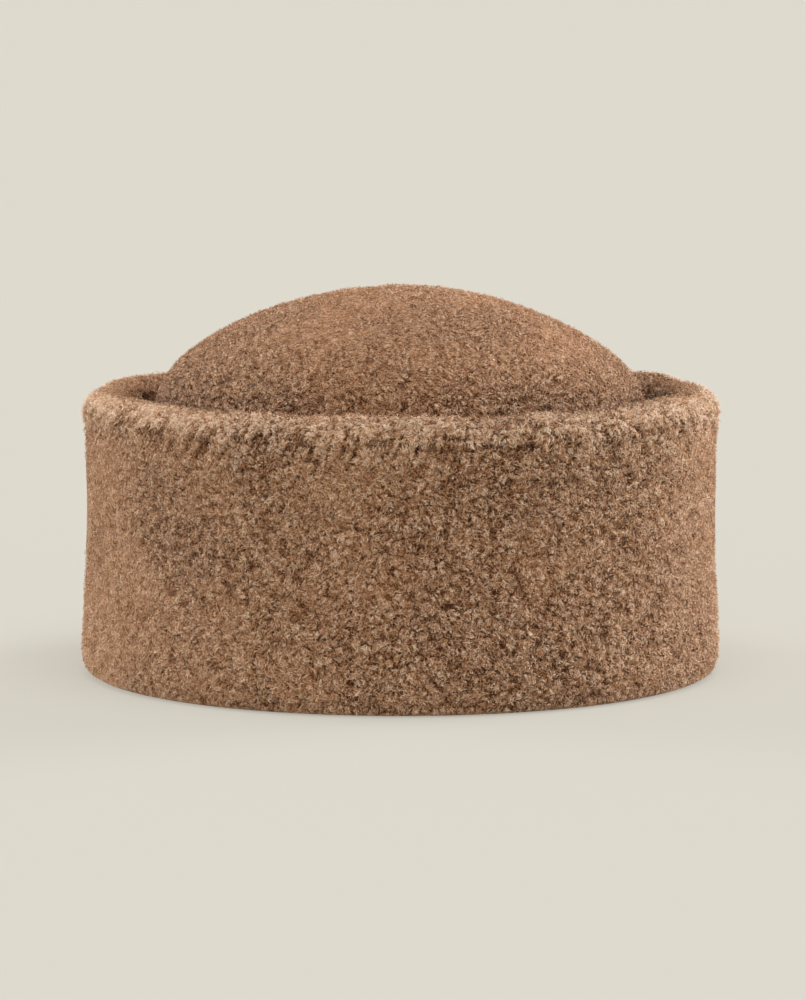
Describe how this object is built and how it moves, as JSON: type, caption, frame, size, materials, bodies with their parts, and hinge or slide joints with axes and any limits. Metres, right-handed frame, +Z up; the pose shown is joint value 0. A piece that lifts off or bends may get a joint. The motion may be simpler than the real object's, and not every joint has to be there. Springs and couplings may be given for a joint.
{
  "type": "teddy hat",
  "caption": "Brimless teddy plush hat: a soft low dome inside a wide cuff turned up all round, with a rolled top edge over a puckered seam, open underneath for the head.",
  "frame": {"origin": "on the surface that the hat stands on, in the middle of the head opening", "axes": "+Z up through the crown, +Y to the back, -Y the front of the hat, +X to the viewer's right"},
  "size_m": [0.252, 0.26, 0.1519],
  "materials": {
    "crown_plush": "deep matte teddy pile in warm tan",
    "cuff_plush": "deep matte teddy pile in warm tan",
    "facing_plush": "deep matte teddy pile in warm tan, brushed along the rolled edge"
  },
  "bodies": {
    "root": {"crown": "crown_plush", "cuff_outer": "cuff_plush", "cuff_facing": "facing_plush"}
  },
  "joints": []
}
